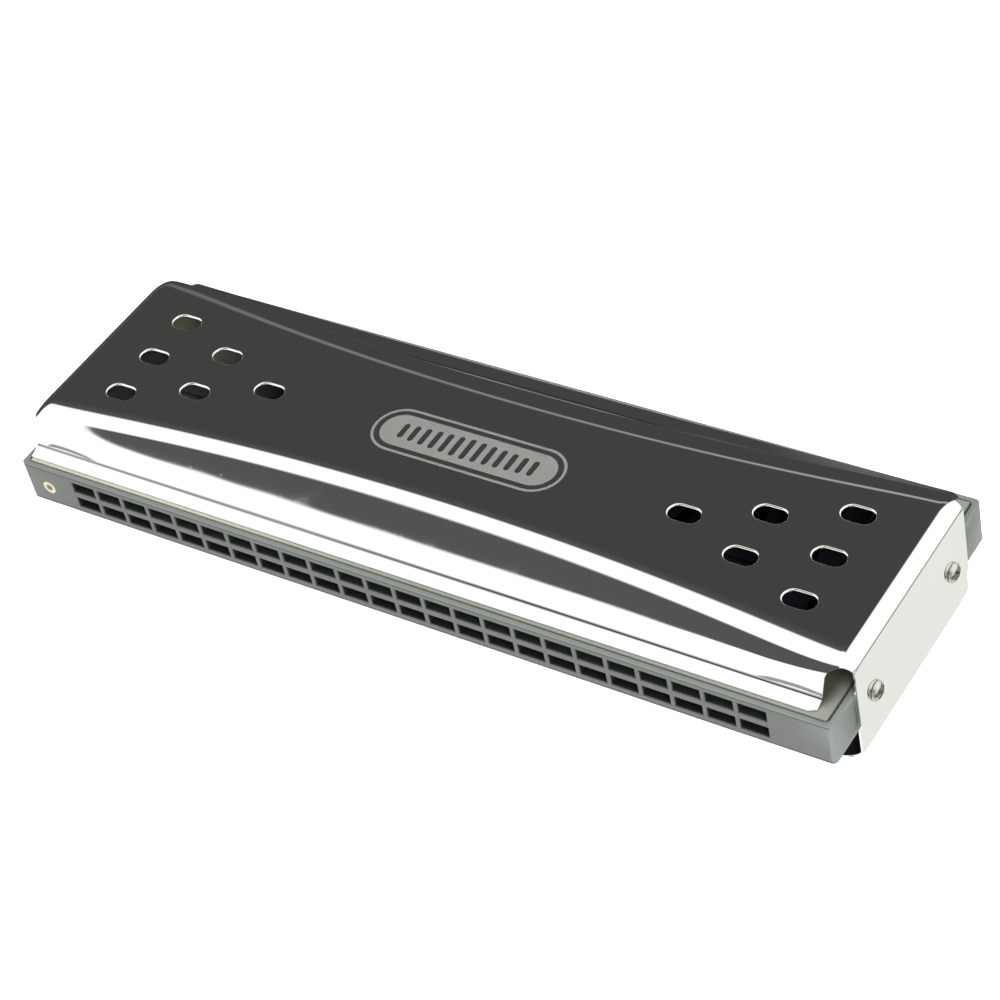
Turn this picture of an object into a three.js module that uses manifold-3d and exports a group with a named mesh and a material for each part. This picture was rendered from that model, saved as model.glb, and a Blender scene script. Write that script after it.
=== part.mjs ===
// A double-sided tremolo harmonica: one comb with two rows of chambers along each long side, four brass
// reed plates let into its top and bottom, reeds on both faces of each plate, and two pressed steel covers
// whose end flaps overlap and are held by screws. Millimetres, +Z up, the origin under the middle of the
// part. +X runs along the comb, and -Y is the front mouth side. The back is the front turned half round
// about Z, so each side has its bass end on the player's left.
import * as THREE from "three";
import { mergeVertices } from "three/addons/utils/BufferGeometryUtils.js";
import Module from "manifold-3d";

const wasm = await Module();
wasm.setup();

// Driving dimensions
const HEIGHT = 25.8; // over the two cover panels
const MID_Z = HEIGHT / 2;
const COMB = { length: 185.8, width: 60.6, height: 9.6, cornerRadius: 1 };
const COLUMNS = 24;
const PITCH = 6.7;
const MOUTH = { width: 5.86, height: 2.75, web: 1.3, wall: 2.6 }; // web: between the two rows
const CHAMBER_INNER_Y = 3.2; // the chambers stop here, at the wall down the middle of the comb
const RECESS = { length: 183.6, width: 58.6, depth: 0.9, cornerRadius: 1 };
const PLATE = { length: 182.6, width: 28.7, thickness: 0.8, middleGap: 0.3, gap: 0.1 };
const REED = { width: 2.2, thickness: 0.2, clearance: 0.2, stand: 0.06 };
const REED_BAR = 1.4; // width of the strip of root pads across a bank
const DRAW_REED = { rootY: 4.9, direction: 1, bass: 18, treble: 9 }; // outside, tips towards the mouth
const BLOW_REED = { rootY: 28.45, direction: -1, bass: 20, treble: 10.5 }; // inside, tips to the middle
const BAR_GROOVE = { width: 1.65, depth: 0.3 }; // along the comb, for the root pads of inside reeds
const SHEET = 0.35;
const COVER_GAP = 0.06; // from the reed plate to the flange's edge
const SLOPE_END = { left: -91.8, right: 88.9 }; // where the slopes and flanges stop
const RELIEF = { turnY: 25.5, bowY: 22.6, bow: 0.4 }; // the curve from the slope's end to the flap's corner
const ROLL = { startX: 90.3, radius: 3.93, degrees: 60 }; // the panel's end turns down to the bend
const FLAP_HALF_WIDTH = 21.8;
const FLAP_LENGTH = 16.5;
const FLAP_CORNER = 1.5;
const FLAP_SHOULDER = { width: 1.6, drop: 0.7 }; // the flap's top corners follow the slope's shoulder
const FLAP_NEST = 0.4; // the bottom cover's flaps lie this far inside the top cover's
const VENT = { length: 7.2, width: 4.4 };
const VENT_COLUMNS = [
  { x: 78, ys: [-11.5, 0, 11.5] },
  { x: 63.05, ys: [-5.75, 5.75] },
  { x: 48.1, ys: [0] },
];
const COVER_SCREW = { y: 15.6, headRadius: 2, headHeight: 1.3, shankRadius: 0.85, length: 6 };
const PLATE_SCREW = { headRadius: 1.3, headHeight: 0.6, shankRadius: 0.55, length: 3.6 };
const PLATE_SCREW_PLACES = [
  { x: -86, y: 22 },
  { x: -43.55, y: 1.7 },
  { x: 0, y: 1.7 },
  { x: 43.55, y: 1.7 },
  { x: 86, y: 22 },
];
const HOLE_CLEARANCE = 0.15;
const HEAD_GAP = 0.05; // under each screw head
const SHOULDER = { y: 12.05, flare: 6, radius: 11.65, radiusFlare: 2.77, radiusEnd: -4.5, endPower: 8 };
const SLOPE = { radius: 31.35, radiusFlare: -27 }; // below the shoulder
const LEANS = { shoulder: 24, slope: 36, most: 88 }; // how far the face leans out where each arc ends
const FLANGE = { front: 28.4, back: 29.2, backFlare: 0.9 }; // how far the edges lie from the middle
const VALLEY_Y = 25.5;
const ROUND_SIDES = 12;
const SMALL_ROUND_SIDES = 8;

const COMB_TOP = MID_Z + COMB.height / 2;
const RECESS_FLOOR = COMB_TOP - RECESS.depth;
const PLATE_TOP = RECESS_FLOOR + PLATE.gap + PLATE.thickness;
const ROLL_ANGLE = THREE.MathUtils.degToRad(ROLL.degrees);
const BEND_X = ROLL.startX + ROLL.radius * Math.sin(ROLL_ANGLE);
const BEND_Z = HEIGHT - ROLL.radius * (1 - Math.cos(ROLL_ANGLE));
const VALLEY_Z = COMB_TOP + 1.1; // where the slope turns out into the flange

const SIDES = [
  { name: "front", y: -1, x: 1 },
  { name: "back", y: 1, x: -1 },
];
const LEVELS = [
  { name: "top", z: 1 },
  { name: "bottom", z: -1 },
];

// Solids

function solidOf(geometry) {
  const plain = geometry.clone();
  plain.deleteAttribute("normal");
  plain.deleteAttribute("uv");
  const merged = mergeVertices(plain, 1e-4);
  const vertProperties = new Float32Array(merged.attributes.position.array);
  const triVerts = new Uint32Array(merged.index.array);
  return new wasm.Manifold(new wasm.Mesh({ numProp: 3, vertProperties, triVerts }));
}

function geometryOf(solid) {
  const mesh = solid.getMesh();
  const indexed = new THREE.BufferGeometry();
  const stride = mesh.numProp;
  const count = mesh.vertProperties.length / stride;
  const positions = new Float32Array(count * 3);
  for (let i = 0; i < count; i += 1) {
    for (let axis = 0; axis < 3; axis += 1) {
      positions[3 * i + axis] = mesh.vertProperties[stride * i + axis];
    }
  }
  indexed.setAttribute("position", new THREE.BufferAttribute(positions, 3));
  indexed.setIndex(new THREE.BufferAttribute(new Uint32Array(mesh.triVerts), 1));
  const flat = indexed.toNonIndexed();
  flat.computeVertexNormals();
  return flat;
}

// A box between two opposite corners, given in any order.
function box(cornerA, cornerB) {
  const low = new THREE.Vector3(...cornerA).min(new THREE.Vector3(...cornerB));
  const high = new THREE.Vector3(...cornerA).max(new THREE.Vector3(...cornerB));
  const size = high.clone().sub(low);
  const middle = low.clone().add(high).multiplyScalar(0.5);
  return solidOf(new THREE.BoxGeometry(size.x, size.y, size.z).translate(middle.x, middle.y, middle.z));
}

// A round bar from one point to another, along X or Z.
function bar(from, to, radius, sides = ROUND_SIDES) {
  const start = new THREE.Vector3(...from);
  const span = new THREE.Vector3(...to).sub(start);
  const geometry = new THREE.CylinderGeometry(radius, radius, span.length(), sides);
  const upward = new THREE.Vector3(0, 1, 0);
  const turn = new THREE.Quaternion().setFromUnitVectors(upward, span.clone().normalize());
  const middle = start.addScaledVector(span, 0.5);
  return solidOf(geometry.applyQuaternion(turn).translate(middle.x, middle.y, middle.z));
}

function roundedRectangle(halfX, halfY, radius) {
  const shape = new THREE.Shape();
  shape.moveTo(halfX, radius - halfY);
  shape.absarc(halfX - radius, halfY - radius, radius, 0, Math.PI / 2);
  shape.absarc(radius - halfX, halfY - radius, radius, Math.PI / 2, Math.PI);
  shape.absarc(radius - halfX, radius - halfY, radius, Math.PI, 1.5 * Math.PI);
  shape.absarc(halfX - radius, radius - halfY, radius, 1.5 * Math.PI, 2 * Math.PI);
  return shape;
}

function slab(shape, lowZ, highZ, curveSegments = 3) {
  const geometry = new THREE.ExtrudeGeometry(shape, {
    depth: highZ - lowZ,
    bevelEnabled: false,
    curveSegments,
  });
  return solidOf(geometry.translate(0, 0, lowZ));
}

function joined(solids) {
  return solids.reduce((whole, piece) => whole.add(piece));
}

// Places shared by the comb, the plates and the reeds

const columnX = (side, column) => side.x * PITCH * (column - (COLUMNS - 1) / 2);
const atZ = (level, height) => MID_Z + level.z * (height - MID_Z);

function reedLength(kind, column) {
  return kind.bass + ((kind.treble - kind.bass) * column) / (COLUMNS - 1);
}

// Blow and draw notes take turns along the columns.
const kindOf = (column) => (column % 2 === 0 ? BLOW_REED : DRAW_REED);

function screwHole(side, level, place) {
  const x = side.x * place.x;
  const y = side.y * place.y;
  const top = atZ(level, PLATE_TOP + 0.1);
  const tip = atZ(level, PLATE_TOP - PLATE_SCREW.length - 0.3);
  return bar([x, y, top], [x, y, tip], PLATE_SCREW.shankRadius + HOLE_CLEARANCE, SMALL_ROUND_SIDES);
}

// The comb

function combCutters(side, level) {
  const cutters = [];
  const rowLow = MID_Z + MOUTH.web / 2;
  const rowHigh = rowLow + MOUTH.height;
  const wallY = COMB.width / 2 - MOUTH.wall;
  for (let column = 0; column < COLUMNS; column += 1) {
    const x = columnX(side, column);
    const left = x - MOUTH.width / 2;
    const right = x + MOUTH.width / 2;
    const outsideY = side.y * (COMB.width / 2 + 1);
    const wallSideY = side.y * wallY;
    const innerY = side.y * CHAMBER_INNER_Y;
    const bottomZ = atZ(level, rowLow);
    cutters.push(box([left, outsideY, bottomZ], [right, wallSideY, atZ(level, rowHigh)]));
    cutters.push(box([left, wallSideY, bottomZ], [right, innerY, atZ(level, RECESS_FLOOR + 0.2)]));
  }
  const reach = PITCH * (COLUMNS / 2);
  const grooveFloor = atZ(level, RECESS_FLOOR - BAR_GROOVE.depth);
  const grooveOuter = side.y * (BLOW_REED.rootY + BAR_GROOVE.width / 2);
  const grooveInner = side.y * (BLOW_REED.rootY - BAR_GROOVE.width / 2);
  cutters.push(box([-reach, grooveOuter, grooveFloor], [reach, grooveInner, atZ(level, COMB_TOP)]));
  for (const place of PLATE_SCREW_PLACES) cutters.push(screwHole(side, level, place));
  return cutters;
}

function comb() {
  const outline = roundedRectangle(COMB.length / 2, COMB.width / 2, COMB.cornerRadius);
  const recess = roundedRectangle(RECESS.length / 2, RECESS.width / 2, RECESS.cornerRadius);
  const cutters = [
    slab(recess, RECESS_FLOOR, COMB_TOP + 1),
    slab(recess, atZ(LEVELS[1], COMB_TOP + 1), atZ(LEVELS[1], RECESS_FLOOR)),
  ];
  for (const side of SIDES) {
    for (const level of LEVELS) cutters.push(joined(combCutters(side, level)));
    for (const end of [-1, 1]) {
      const face = end * (COMB.length / 2);
      const tip = face - end * COVER_SCREW.length;
      const y = side.y * COVER_SCREW.y;
      const radius = COVER_SCREW.shankRadius + HOLE_CLEARANCE;
      cutters.push(bar([face + end, y, MID_Z], [tip, y, MID_Z], radius));
    }
  }
  return slab(outline, atZ(LEVELS[1], COMB_TOP), COMB_TOP).subtract(joined(cutters));
}

// The reed plates and the reeds

function reedSpan(side, kind, column, extra) {
  const x = columnX(side, column);
  const halfWidth = REED.width / 2 + extra;
  const tipY = kind.rootY + kind.direction * (reedLength(kind, column) + extra);
  return { left: x - halfWidth, right: x + halfWidth, root: side.y * kind.rootY, tip: side.y * tipY };
}

function reedPlate(side, level) {
  const inner = side.y * PLATE.middleGap;
  const outer = side.y * (PLATE.middleGap + PLATE.width);
  const low = atZ(level, PLATE_TOP - PLATE.thickness);
  const high = atZ(level, PLATE_TOP);
  const cutters = [];
  for (let column = 0; column < COLUMNS; column += 1) {
    const kind = kindOf(column);
    const span = reedSpan(side, kind, column, REED.clearance);
    const start = span.root + side.y * kind.direction * (REED_BAR / 2);
    const above = atZ(level, PLATE_TOP + 1);
    const below = atZ(level, PLATE_TOP - PLATE.thickness - 1);
    cutters.push(box([span.left, start, below], [span.right, span.tip, above]));
  }
  for (const place of PLATE_SCREW_PLACES) cutters.push(screwHole(side, level, place));
  const body = box([-PLATE.length / 2, inner, low], [PLATE.length / 2, outer, high]);
  return body.subtract(joined(cutters));
}

function reedBank(side, level, kind) {
  const outside = kind === DRAW_REED;
  const plateFace = outside ? PLATE_TOP + REED.stand : PLATE_TOP - PLATE.thickness - REED.stand;
  const farFace = plateFace + (outside ? REED.thickness : -REED.thickness);
  const near = atZ(level, plateFace);
  const far = atZ(level, farFace);
  const columns = [...Array(COLUMNS).keys()].filter((column) => kindOf(column) === kind);
  const spans = columns.map((column) => reedSpan(side, kind, column, 0));
  const reeds = spans.map((span) => box([span.left, span.root, near], [span.right, span.tip, far]));
  const left = Math.min(...spans.map((span) => span.left));
  const right = Math.max(...spans.map((span) => span.right));
  const rootY = side.y * kind.rootY;
  reeds.push(box([left, rootY - REED_BAR / 2, near], [right, rootY + REED_BAR / 2, far]));
  return joined(reeds);
}

// The covers

// Carries a cross-section on round an arc, from one lean of its face to another.
function turn(points, startLean, stopLean, radius, segments) {
  const start = points[points.length - 1];
  const centre = new THREE.Vector2(
    start.x - radius * Math.sin(startLean),
    start.y - radius * Math.cos(startLean),
  );
  for (let i = 1; i <= segments; i += 1) {
    const lean = startLean + ((stopLean - startLean) * i) / segments;
    points.push(new THREE.Vector2(
      centre.x + radius * Math.sin(lean),
      centre.y + radius * Math.cos(lean),
    ));
  }
}

// The lean at which an arc from start points straight at the target.
function leanTo(start, startLean, radius, target) {
  let low = startLean;
  let high = THREE.MathUtils.degToRad(LEANS.most);
  for (let i = 0; i < 40; i += 1) {
    const middle = (low + high) / 2;
    const points = [start];
    turn(points, startLean, middle, radius, 1);
    const ahead = target.clone().sub(points[1]);
    const misses = Math.cos(middle) * ahead.y + Math.sin(middle) * ahead.x < 0;
    if (misses) low = middle;
    else high = middle;
  }
  return low;
}

// The cover's outer face in a cross-section, from the middle of the panel to the flange's edge, as distance
// from the middle and height. endShare is 0 in the middle of the cover and 1 at its ends. flangeEdgeY is
// where the flange stops.
function halfSection(endShare, flangeEdgeY) {
  const valley = new THREE.Vector2(VALLEY_Y, VALLEY_Z);
  const shoulderLean = THREE.MathUtils.degToRad(LEANS.shoulder);
  const slopeLean = THREE.MathUtils.degToRad(LEANS.slope);
  const shoulderFlare = SHOULDER.radiusFlare * endShare + SHOULDER.radiusEnd * endShare ** SHOULDER.endPower;
  const slopeRadius = SLOPE.radius + SLOPE.radiusFlare * endShare;
  const points = [new THREE.Vector2(SHOULDER.y + SHOULDER.flare * endShare, HEIGHT)];
  turn(points, 0, shoulderLean, SHOULDER.radius + shoulderFlare, 3);
  turn(points, shoulderLean, slopeLean, slopeRadius, 2);
  const slopeFoot = points[points.length - 1];
  const skirtRadius = VALLEY_Y - slopeFoot.x;
  const skirtLean = leanTo(slopeFoot, slopeLean, skirtRadius, valley);
  turn(points, slopeLean, skirtLean, skirtRadius, 2);
  const flangeEdge = new THREE.Vector2(flangeEdgeY, PLATE_TOP + COVER_GAP + SHEET);
  return [new THREE.Vector2(0, HEIGHT), ...points, valley, flangeEdge];
}

// Where the cover is cut across, and how far the end roll has lowered it there.
function stations() {
  const list = [];
  const steps = 12;
  for (let i = 0; i <= steps; i += 1) list.push({ x: ROLL.startX * ((2 * i) / steps - 1), drop: 0 });
  const rollSteps = 3;
  for (let i = 1; i <= rollSteps; i += 1) {
    const angle = (ROLL_ANGLE * i) / rollSteps;
    const x = ROLL.startX + ROLL.radius * Math.sin(angle);
    const drop = ROLL.radius * (1 - Math.cos(angle));
    list.push({ x, drop });
    list.unshift({ x: -x, drop });
  }
  return list;
}

// The cover's outer face as rows of points. The end roll lowers the panel but not the flanges. nest draws
// the ends in, so that one cover's flap fits inside the other's.
function coverSkin(nest) {
  return stations().map(({ x, drop }) => {
    const endShare = (x / BEND_X) ** 2;
    const frontHalf = halfSection(endShare, FLANGE.front);
    const backHalf = halfSection(endShare, FLANGE.back + FLANGE.backFlare * endShare);
    const inset = (nest * Math.max(0, Math.abs(x) - ROLL.startX)) / (BEND_X - ROLL.startX);
    const placeX = x - Math.sign(x) * inset;
    const place = (point, sign) => {
      const rise = Math.max(0, (point.y - VALLEY_Z) / (HEIGHT - VALLEY_Z));
      return new THREE.Vector3(placeX, sign * point.x, point.y - drop * rise);
    };
    const front = frontHalf.map((point) => place(point, -1)).reverse();
    const back = backHalf.slice(1).map((point) => place(point, 1));
    return [...front, ...back];
  });
}

// A closed sheet of even thickness under a grid of points.
function thickened(grid, thickness) {
  const rows = grid.length;
  const columns = grid[0].length;
  const at = (i, j) => grid[Math.min(Math.max(i, 0), rows - 1)][Math.min(Math.max(j, 0), columns - 1)];
  const outer = [];
  const inner = [];
  for (let i = 0; i < rows; i += 1) {
    for (let j = 0; j < columns; j += 1) {
      const along = at(i + 1, j).clone().sub(at(i - 1, j));
      const across = at(i, j + 1).clone().sub(at(i, j - 1));
      const normal = along.cross(across).normalize();
      outer.push(at(i, j));
      inner.push(at(i, j).clone().addScaledVector(normal, -thickness));
    }
  }
  const index = [];
  const quad = (a, b, c, d) => index.push(a, b, c, a, c, d);
  const shift = rows * columns;
  for (let i = 0; i < rows - 1; i += 1) {
    for (let j = 0; j < columns - 1; j += 1) {
      const a = i * columns + j;
      quad(a, a + columns, a + columns + 1, a + 1);
      quad(shift + a, shift + a + 1, shift + a + columns + 1, shift + a + columns);
    }
  }
  for (let j = 0; j < columns - 1; j += 1) {
    const last = (rows - 1) * columns + j;
    quad(j, j + 1, shift + j + 1, shift + j);
    quad(last + 1, last, shift + last, shift + last + 1);
  }
  for (let i = 0; i < rows - 1; i += 1) {
    const a = i * columns;
    const b = a + columns - 1;
    quad(a + columns, a, shift + a, shift + a + columns);
    quad(b, b + columns, shift + b + columns, shift + b);
  }
  const geometry = new THREE.BufferGeometry();
  const points = [...outer, ...inner].flatMap((point) => point.toArray());
  geometry.setAttribute("position", new THREE.Float32BufferAttribute(points, 3));
  geometry.setIndex(index);
  return solidOf(geometry);
}

function vents() {
  const outline = roundedRectangle(VENT.length / 2, VENT.width / 2, VENT.width / 2 - 0.01);
  const cutters = [];
  for (const end of [-1, 1]) {
    for (const column of VENT_COLUMNS) {
      for (const y of column.ys) {
        cutters.push(slab(outline, HEIGHT - 2, HEIGHT + 1, 2).translate([end * column.x, y, 0]));
      }
    }
  }
  return cutters;
}

// What is cut away past the end of a slope: straight across the flange, then out to the flap's corner.
function endRelief(end, slopeEnd) {
  const start = Math.abs(slopeEnd);
  const past = BEND_X + 5;
  const shape = new THREE.Shape();
  shape.moveTo(start, COMB.width);
  shape.lineTo(start, RELIEF.turnY);
  shape.quadraticCurveTo(start + RELIEF.bow, RELIEF.bowY, BEND_X, FLAP_HALF_WIDTH);
  shape.lineTo(past, FLAP_HALF_WIDTH);
  shape.lineTo(past, COMB.width);
  const back = slab(shape, 0, HEIGHT + 1, 5);
  const both = back.add(back.mirror([0, 1, 0]));
  return end > 0 ? both : both.mirror([1, 0, 0]);
}

function flap(end, nest) {
  const outerX = BEND_X - nest;
  const shape = new THREE.Shape();
  const top = BEND_Z + SHEET / 4;
  const low = BEND_Z - FLAP_LENGTH;
  const edge = FLAP_HALF_WIDTH - FLAP_CORNER;
  const { drop, width } = FLAP_SHOULDER;
  shape.moveTo(width - FLAP_HALF_WIDTH, top);
  shape.lineTo(-FLAP_HALF_WIDTH, top - drop);
  shape.lineTo(-FLAP_HALF_WIDTH, low + FLAP_CORNER);
  shape.absarc(-edge, low + FLAP_CORNER, FLAP_CORNER, Math.PI, 1.5 * Math.PI);
  shape.absarc(edge, low + FLAP_CORNER, FLAP_CORNER, 1.5 * Math.PI, 2 * Math.PI);
  shape.lineTo(FLAP_HALF_WIDTH, top - drop);
  shape.lineTo(FLAP_HALF_WIDTH - width, top);
  const sheet = new THREE.ExtrudeGeometry(shape, { depth: SHEET, bevelEnabled: false, curveSegments: 3 });
  // The outline's X becomes Y, its Y becomes Z, and its depth runs along X.
  sheet.applyMatrix4(new THREE.Matrix4().set(0, 0, 1, outerX - SHEET, 1, 0, 0, 0, 0, 1, 0, 0, 0, 0, 0, 1));
  const solid = solidOf(sheet);
  return end > 0 ? solid : solid.mirror([1, 0, 0]);
}

// A cover as it lies on top. The bottom one is the same sheet turned over, its flaps nested inside.
function cover(nest) {
  const reliefs = endRelief(-1, SLOPE_END.left).add(endRelief(1, SLOPE_END.right));
  let sheet = thickened(coverSkin(nest), SHEET).subtract(reliefs).subtract(joined(vents()));
  for (const end of [-1, 1]) {
    sheet = sheet.add(flap(end, nest));
    for (const side of SIDES) {
      const y = side.y * COVER_SCREW.y;
      const radius = COVER_SCREW.shankRadius + HOLE_CLEARANCE;
      const hole = bar([end * (BEND_X - 3), y, MID_Z], [end * (BEND_X + 3), y, MID_Z], radius);
      sheet = sheet.subtract(hole);
    }
  }
  return sheet;
}

// The screws

function coverScrew(end, side) {
  const underHead = BEND_X + HEAD_GAP;
  const profile = [
    new THREE.Vector2(0, 0),
    new THREE.Vector2(COVER_SCREW.headRadius, 0),
    new THREE.Vector2(COVER_SCREW.headRadius, 0.5 * COVER_SCREW.headHeight),
    new THREE.Vector2(0.6 * COVER_SCREW.headRadius, COVER_SCREW.headHeight),
    new THREE.Vector2(0, COVER_SCREW.headHeight),
  ];
  const head = solidOf(new THREE.LatheGeometry(profile, ROUND_SIDES));
  const shank = bar([0, 0, 0], [0, 0.2 - COVER_SCREW.length, 0], COVER_SCREW.shankRadius);
  const upright = head.add(shank);
  const turned = upright.rotate([0, 0, -90 * end]);
  return turned.translate([end * underHead, side.y * COVER_SCREW.y, MID_Z]);
}

function plateScrew(side, level, place) {
  const x = side.x * place.x;
  const y = side.y * place.y;
  const { headRadius, headHeight, shankRadius, length } = PLATE_SCREW;
  const under = PLATE_TOP + HEAD_GAP;
  const top = [x, y, atZ(level, under + headHeight)];
  const head = bar([x, y, atZ(level, under)], top, headRadius, SMALL_ROUND_SIDES);
  const tip = [x, y, atZ(level, PLATE_TOP - length)];
  return head.add(bar([x, y, atZ(level, under + headHeight / 2)], tip, shankRadius, SMALL_ROUND_SIDES));
}

// The assembly

function material(color, roughness, metalness) {
  return new THREE.MeshStandardMaterial({ color, roughness, metalness });
}

const ABS = material(0x7f8680, 0.45, 0);
const BRASS = material(0xc9b06a, 0.32, 1);
const REED_BRASS = material(0xb8924a, 0.28, 1);
const MIRROR_STEEL = material(0xd8d8d4, 0.08, 1);
const SCREW_STEEL = material(0xb9b9b2, 0.25, 1);

const harmonica = new THREE.Group();

function piece(name, solid, finish) {
  const mesh = new THREE.Mesh(geometryOf(solid), finish);
  mesh.name = name;
  harmonica.add(mesh);
  return mesh;
}

piece("comb", comb(), ABS);
for (const level of LEVELS) {
  for (const side of SIDES) {
    const where = `${level.name}_${side.name}`;
    piece(`reed_plate_${where}`, reedPlate(side, level), BRASS);
    piece(`draw_reeds_${where}`, reedBank(side, level, DRAW_REED), REED_BRASS);
    piece(`blow_reeds_${where}`, reedBank(side, level, BLOW_REED), REED_BRASS);
    PLATE_SCREW_PLACES.forEach((place, i) => {
      piece(`plate_screw_${where}_${i + 1}`, plateScrew(side, level, place), SCREW_STEEL);
    });
  }
}
piece("top_cover", cover(0), MIRROR_STEEL);
const bottomCover = cover(FLAP_NEST).mirror([0, 0, 1]).translate([0, 0, HEIGHT]);
piece("bottom_cover", bottomCover, MIRROR_STEEL);
for (const side of SIDES) {
  piece(`cover_screw_left_${side.name}`, coverScrew(-1, side), SCREW_STEEL);
  piece(`cover_screw_right_${side.name}`, coverScrew(1, side), SCREW_STEEL);
}

export default harmonica;
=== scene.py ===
"""Looks for a double-sided tremolo harmonica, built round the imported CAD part.

Lengths below are in millimetres unless a name says otherwise; MM turns them into metres.
"""

import math
import random

import bmesh
import bpy
from mathutils import Matrix, Quaternion, Vector
from mathutils.geometry import delaunay_2d_cdt


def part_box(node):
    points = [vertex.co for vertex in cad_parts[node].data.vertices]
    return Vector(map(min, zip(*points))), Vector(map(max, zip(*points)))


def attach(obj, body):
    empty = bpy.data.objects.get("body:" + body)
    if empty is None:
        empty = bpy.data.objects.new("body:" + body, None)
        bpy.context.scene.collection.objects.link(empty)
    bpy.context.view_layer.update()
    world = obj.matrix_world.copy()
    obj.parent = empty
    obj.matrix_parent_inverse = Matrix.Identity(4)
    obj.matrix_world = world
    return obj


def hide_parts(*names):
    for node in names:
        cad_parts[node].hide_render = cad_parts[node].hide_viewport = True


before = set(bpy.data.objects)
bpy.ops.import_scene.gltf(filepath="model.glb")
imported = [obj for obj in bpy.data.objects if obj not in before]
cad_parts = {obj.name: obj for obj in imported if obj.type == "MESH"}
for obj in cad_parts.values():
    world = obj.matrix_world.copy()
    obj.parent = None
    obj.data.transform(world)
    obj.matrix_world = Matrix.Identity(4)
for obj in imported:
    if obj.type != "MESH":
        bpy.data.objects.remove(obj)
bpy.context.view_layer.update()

MM = 0.001
BODY = "harmonica"
random.seed(7)


def cad_box_mm(node):
    low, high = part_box(node)
    return low / MM, high / MM


# Sizes taken from the CAD nodes
TOP_LOW, TOP_HIGH = cad_box_mm("top_cover")
BOTTOM_HIGH = cad_box_mm("bottom_cover")[1]
COMB_HIGH = cad_box_mm("comb")[1]
PLATE_HIGH = cad_box_mm("reed_plate_top_front")[1]
HEIGHT = TOP_HIGH.z
MID_Z = HEIGHT / 2
BEND_X = TOP_HIGH.x
BEND_DROP = 1.97
BEND_Z = HEIGHT - BEND_DROP
NEST = TOP_HIGH.x - BOTTOM_HIGH.x
FLAP_LOW = TOP_LOW.z
COMB_TOP = COMB_HIGH.z
PLATE_TOP = PLATE_HIGH.z

# The sheet's shape
SHEET = 0.35
COVER_GAP = 0.06
FLAT_END = 88.9
SLOPE_END = {-1: 91.8, 1: 88.9}
ROLL_START = 90.3
ROLL_RADIUS = 3.93
ROLL_STOP = math.radians(58)
FLAP_HALF_WIDTH = 21.8
FLAP_CORNER = 1.5
VALLEY = Vector((25.5, COMB_TOP + 1.1))
VALLEY_RADIUS = 0.6
FLANGE_REACH = {-1: 28.4, 1: 29.2}
FLANGE_FLARE = {-1: 0.0, 1: 0.9}
FLANGE_CORNER = 0.8
PANEL_HALF = 12.05
PANEL_FLARE = 6.0
PANEL_TRIM = 0.2
SHOULDER_RADIUS = 11.65
SHOULDER_FLARE = 2.77
SHOULDER_TAPER = 4.5
SLOPE_RADIUS = 31.35
SLOPE_TAPER = 27
STEEPEST = math.radians(88)
SHOULDER_TURN = math.radians(24)
SIDE_TURN = math.radians(36)
VENT_LENGTH = 7.4
VENT_WIDTH = 4.6
LIP = 0.42
LIP_TURN = 82
VENT_PLACES = [(78, -11.5), (78, 0), (78, 11.5), (63.05, -5.75), (63.05, 5.75), (48.1, 0)]


# Materials

class Nodes:
    """Short calls for a node tree."""

    def __init__(self, tree):
        self.tree = tree
        self.tree.nodes.clear()

    def add(self, kind, **values):
        node = self.tree.nodes.new(kind)
        for key, value in values.items():
            setattr(node, key, value)
        return node

    def link(self, source, target):
        self.tree.links.new(source, target)

    def put(self, socket, value):
        if hasattr(value, "links"):
            self.link(value, socket)
        else:
            socket.default_value = value

    def math(self, operation, *values):
        node = self.add("ShaderNodeMath", operation=operation)
        for i, value in enumerate(values):
            self.put(node.inputs[i], value)
        return node.outputs[0]

    def absolute(self, value):
        return self.math("ABSOLUTE", value)

    def split(self, vector):
        node = self.add("ShaderNodeSeparateXYZ")
        self.link(vector, node.inputs[0])
        return node.outputs

    def ramp(self, value, low, high, to_low=0.0, to_high=1.0, smooth=True):
        node = self.add("ShaderNodeMapRange")
        node.interpolation_type = "SMOOTHSTEP" if smooth else "LINEAR"
        self.put(node.inputs["Value"], value)
        for name, number in (("From Min", low), ("From Max", high), ("To Min", to_low), ("To Max", to_high)):
            node.inputs[name].default_value = number
        return node.outputs[0]

    def band(self, value, low, high, soft):
        rise = self.ramp(value, low - soft, low + soft)
        fall = self.ramp(value, high - soft, high + soft, 1.0, 0.0)
        return self.math("MULTIPLY", rise, fall)

    def mix(self, factor, a, b):
        node = self.add("ShaderNodeMix", data_type="RGBA")
        self.put(node.inputs["Factor"], factor)
        self.put(node.inputs["A"], a)
        self.put(node.inputs["B"], b)
        return node.outputs["Result"]

    def noise(self, vector, scale, detail=2.0, roughness=0.5, stretch=(1, 1, 1)):
        mapping = self.add("ShaderNodeMapping")
        mapping.inputs["Scale"].default_value = stretch
        self.link(vector, mapping.inputs["Vector"])
        node = self.add("ShaderNodeTexNoise")
        node.inputs["Scale"].default_value = scale
        node.inputs["Detail"].default_value = detail
        node.inputs["Roughness"].default_value = roughness
        self.link(mapping.outputs[0], node.inputs["Vector"])
        return node.outputs["Fac"]

    def bump(self, height, strength, distance, normal=None):
        node = self.add("ShaderNodeBump")
        node.inputs["Strength"].default_value = strength
        node.inputs["Distance"].default_value = distance
        self.link(height, node.inputs["Height"])
        if normal is not None:
            self.link(normal, node.inputs["Normal"])
        return node.outputs[0]


def new_material(name):
    material = bpy.data.materials.new(name)
    material.use_nodes = True
    nodes = Nodes(material.node_tree)
    shader = nodes.add("ShaderNodeBsdfPrincipled")
    output = nodes.add("ShaderNodeOutputMaterial")
    nodes.link(shader.outputs[0], output.inputs["Surface"])
    place = nodes.add("ShaderNodeTexCoord").outputs["Object"]
    return material, nodes, shader, place


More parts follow.
